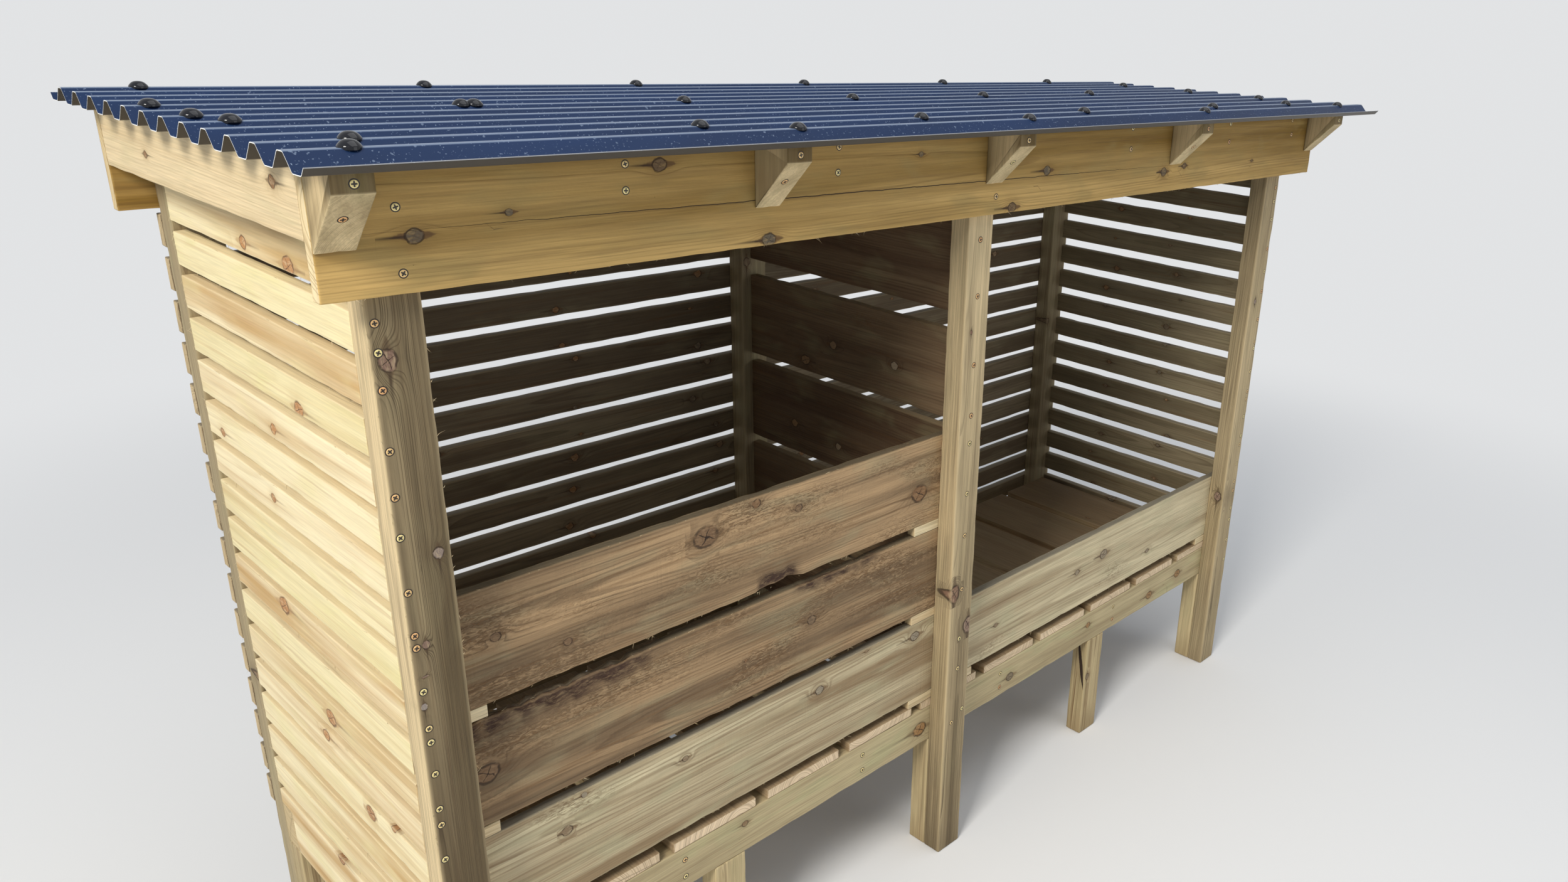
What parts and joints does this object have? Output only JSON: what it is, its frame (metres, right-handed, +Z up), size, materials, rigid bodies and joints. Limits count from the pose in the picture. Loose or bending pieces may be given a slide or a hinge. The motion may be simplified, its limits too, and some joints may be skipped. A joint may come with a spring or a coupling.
{
  "type": "log store",
  "caption": "Open-fronted timber log store on raised legs: slatted back and ends, boarded divider, front boards and a corrugated roof.",
  "frame": {"origin": "on the ground, in the middle of the roof's outline", "axes": "+X along the front from left to right, +Y from the open front to the back, +Z up"},
  "size_m": [2.9, 1.0022, 1.769],
  "materials": {
    "frame_timber": "pressure-treated sawn softwood",
    "header_timber": "pressure-treated sawn softwood",
    "roof_timber": "pressure-treated sawn softwood",
    "batten_timber": "pressure-treated sawn softwood",
    "rough_board": "pressure-treated sawn softwood",
    "front_board": "pressure-treated sawn softwood",
    "floor_timber": "pressure-treated sawn softwood",
    "divider_timber": "pressure-treated sawn softwood",
    "spacer_timber": "pressure-treated sawn softwood",
    "roof_sheet": "semi-gloss dark blue-grey coating"
  },
  "bodies": {
    "root": {"front_post_left": "frame_timber", "front_post_middle": "frame_timber", "front_post_right": "frame_timber", "back_post_left": "frame_timber", "back_post_middle": "frame_timber", "back_post_right": "frame_timber", "front_leg_left": "frame_timber", "front_leg_left_bay": "frame_timber", "front_leg_middle": "frame_timber", "front_leg_right_bay": "frame_timber", "front_leg_right": "frame_timber", "back_leg_left": "frame_timber", "back_leg_left_bay": "frame_timber", "back_leg_middle": "frame_timber", "back_leg_right_bay": "frame_timber", "back_leg_right": "frame_timber", "front_bearer": "frame_timber", "back_bearer": "frame_timber", "cross_rail_1": "frame_timber", "cross_rail_2": "frame_timber", "cross_rail_3": "frame_timber", "cross_rail_4": "frame_timber", "front_header": "header_timber", "back_header": "header_timber", "rafter_left_bay_1": "roof_timber", "rafter_left_bay_2": "roof_timber", "rafter_right_bay_1": "roof_timber", "rafter_right_bay_2": "roof_timber", "eave_block_left": "roof_timber", "eave_block_left_bay": "roof_timber", "eave_block_middle": "roof_timber", "eave_block_right_bay": "roof_timber", "eave_block_right": "roof_timber", "barge_board_left": "roof_timber", "barge_board_right": "roof_timber", "left_side_slats": "batten_timber", "left_side_board": "batten_timber", "right_side_slats": "batten_timber", "right_side_board": "batten_timber", "back_slats": "batten_timber", "front_board_top": "rough_board", "front_board_mid": "rough_board", "front_board_low": "front_board", "front_board_right": "front_board", "floor_boards_left": "floor_timber", "floor_boards_right": "floor_timber", "divider_boards": "divider_timber", "board_spacers": "spacer_timber", "roof_sheet": "roof_sheet"}
  },
  "joints": []
}
